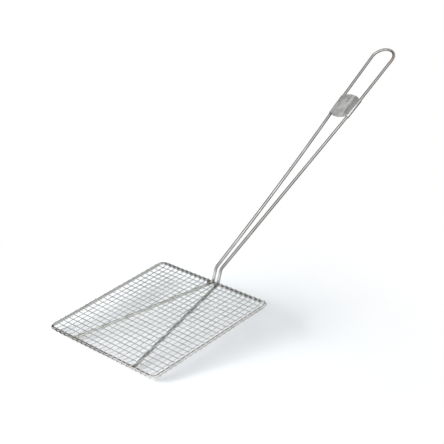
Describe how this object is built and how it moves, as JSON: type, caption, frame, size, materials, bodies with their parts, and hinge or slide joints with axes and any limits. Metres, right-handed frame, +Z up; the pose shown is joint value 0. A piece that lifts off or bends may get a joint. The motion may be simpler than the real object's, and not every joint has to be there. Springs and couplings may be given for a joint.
{
  "type": "fish slice",
  "caption": "Square welded-wire blade in a wire rim, on a long bent-wire handle with a looped end and a small sheet grip plate, for lifting and draining fried fish.",
  "frame": {"origin": "on the table, below the middle of the overall box, with the two legs under the blade touching z = 0", "axes": "+Y from the blade's front edge towards the looped end of the handle, +Z up off the table, +X to the right seen from the blade's front edge"},
  "size_m": [0.2, 0.6016, 0.2042],
  "materials": {
    "frame_wire": "drawn stainless wire, satin with a bright core",
    "mesh_wire": "drawn stainless wire, satin, slightly blue-grey",
    "grip_plate": "thin stainless sheet, brushed and mottled"
  },
  "bodies": {
    "root": {"rim_wire": "frame_wire", "handle_wire": "frame_wire", "grip_plate": "grip_plate", "long_wire_01": "mesh_wire", "long_wire_02": "mesh_wire", "long_wire_03": "mesh_wire", "long_wire_04": "mesh_wire", "long_wire_05": "mesh_wire", "long_wire_06": "mesh_wire", "long_wire_07": "mesh_wire", "long_wire_08": "mesh_wire", "long_wire_09": "mesh_wire", "long_wire_10": "mesh_wire", "long_wire_11": "mesh_wire", "long_wire_12": "mesh_wire", "long_wire_13": "mesh_wire", "long_wire_14": "mesh_wire", "long_wire_15": "mesh_wire", "long_wire_16": "mesh_wire", "long_wire_17": "mesh_wire", "long_wire_18": "mesh_wire", "long_wire_19": "mesh_wire", "long_wire_20": "mesh_wire", "long_wire_21": "mesh_wire", "long_wire_22": "mesh_wire", "cross_wire_01": "mesh_wire", "cross_wire_02": "mesh_wire", "cross_wire_03": "mesh_wire", "cross_wire_04": "mesh_wire", "cross_wire_05": "mesh_wire", "cross_wire_06": "mesh_wire", "cross_wire_07": "mesh_wire", "cross_wire_08": "mesh_wire", "cross_wire_09": "mesh_wire", "cross_wire_10": "mesh_wire", "cross_wire_11": "mesh_wire", "cross_wire_12": "mesh_wire", "cross_wire_13": "mesh_wire", "cross_wire_14": "mesh_wire", "cross_wire_15": "mesh_wire", "cross_wire_16": "mesh_wire", "cross_wire_17": "mesh_wire", "cross_wire_18": "mesh_wire", "cross_wire_19": "mesh_wire", "cross_wire_20": "mesh_wire", "cross_wire_21": "mesh_wire", "cross_wire_22": "mesh_wire"}
  },
  "joints": []
}
